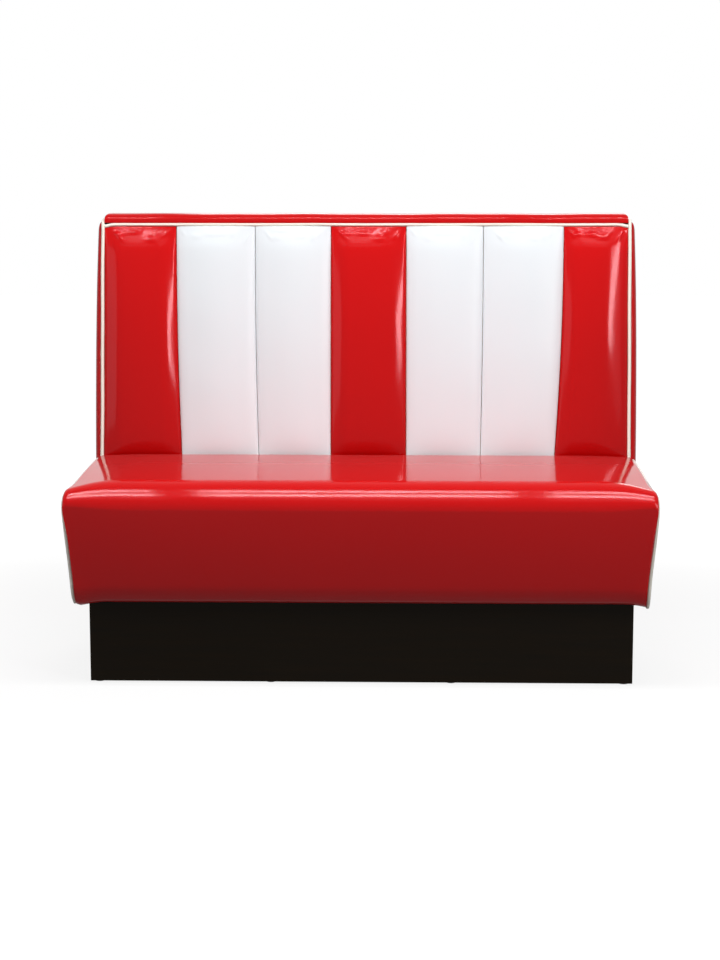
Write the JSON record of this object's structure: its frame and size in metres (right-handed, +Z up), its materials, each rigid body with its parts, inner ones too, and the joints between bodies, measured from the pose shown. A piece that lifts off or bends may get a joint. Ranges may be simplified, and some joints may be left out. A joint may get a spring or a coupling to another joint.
{
  "type": "restaurant booth bench",
  "caption": "Single-sided diner booth bench with a fluted red and white vinyl back, cream piping and a dark laminated plinth",
  "frame": {"origin": "on the floor under the middle of the bench's overall box", "axes": "+Z up, the seat's front faces -Y, +X to the right as seen from the front"},
  "size_m": [1.25, 0.63, 1.005],
  "materials": {
    "red_vinyl": "gloss",
    "cream_piping": "satin",
    "padding": "matte",
    "red_padding": "gloss",
    "white_padding": "gloss",
    "plywood": "matte",
    "dark_laminate": "satin",
    "black_lining": "matte",
    "zinc_steel": "satin",
    "glide_plastic": "matte"
  },
  "bodies": {
    "root": {"back_bolt_washers": "zinc_steel", "back_bolts": "zinc_steel", "back_bottom_rail": "plywood", "back_channel_1": "red_padding", "back_channel_2": "white_padding", "back_channel_3": "white_padding", "back_channel_4": "red_padding", "back_channel_5": "white_padding", "back_channel_6": "white_padding", "back_channel_7": "red_padding", "back_foam": "padding", "back_front_board": "plywood", "back_ledge_rail": "plywood", "back_left_end_panel": "red_padding", "back_left_piping": "cream_piping", "back_left_side": "plywood", "back_left_stud": "plywood", "back_rear_panel": "red_vinyl", "back_rear_rail": "plywood", "back_right_end_panel": "red_padding", "back_right_piping": "cream_piping", "back_right_side": "plywood", "back_right_stud": "plywood", "back_tee_nuts": "zinc_steel", "back_top_rail": "plywood", "bottom_board": "plywood", "floor_glides": "glide_plastic", "plinth_bolt_washers": "zinc_steel", "plinth_bolts": "zinc_steel", "plinth_corner_blocks": "plywood", "plinth_front_board": "dark_laminate", "plinth_left_board": "dark_laminate", "plinth_left_rib": "plywood", "plinth_rear_board": "dark_laminate", "plinth_right_board": "dark_laminate", "plinth_right_rib": "plywood", "plinth_tee_nuts": "zinc_steel", "seat_corner_blocks": "plywood", "seat_cover": "red_vinyl", "seat_deck": "plywood", "seat_foam": "padding", "seat_front_rail": "plywood", "seat_left_end_panel": "red_padding", "seat_left_piping": "cream_piping", "seat_left_rib": "plywood", "seat_left_side": "plywood", "seat_rear_rail": "plywood", "seat_right_end_panel": "red_padding", "seat_right_piping": "cream_piping", "seat_right_rib": "plywood", "seat_right_side": "plywood", "top_piping": "cream_piping", "top_roll": "red_padding", "underside_cover": "black_lining"}
  },
  "joints": []
}
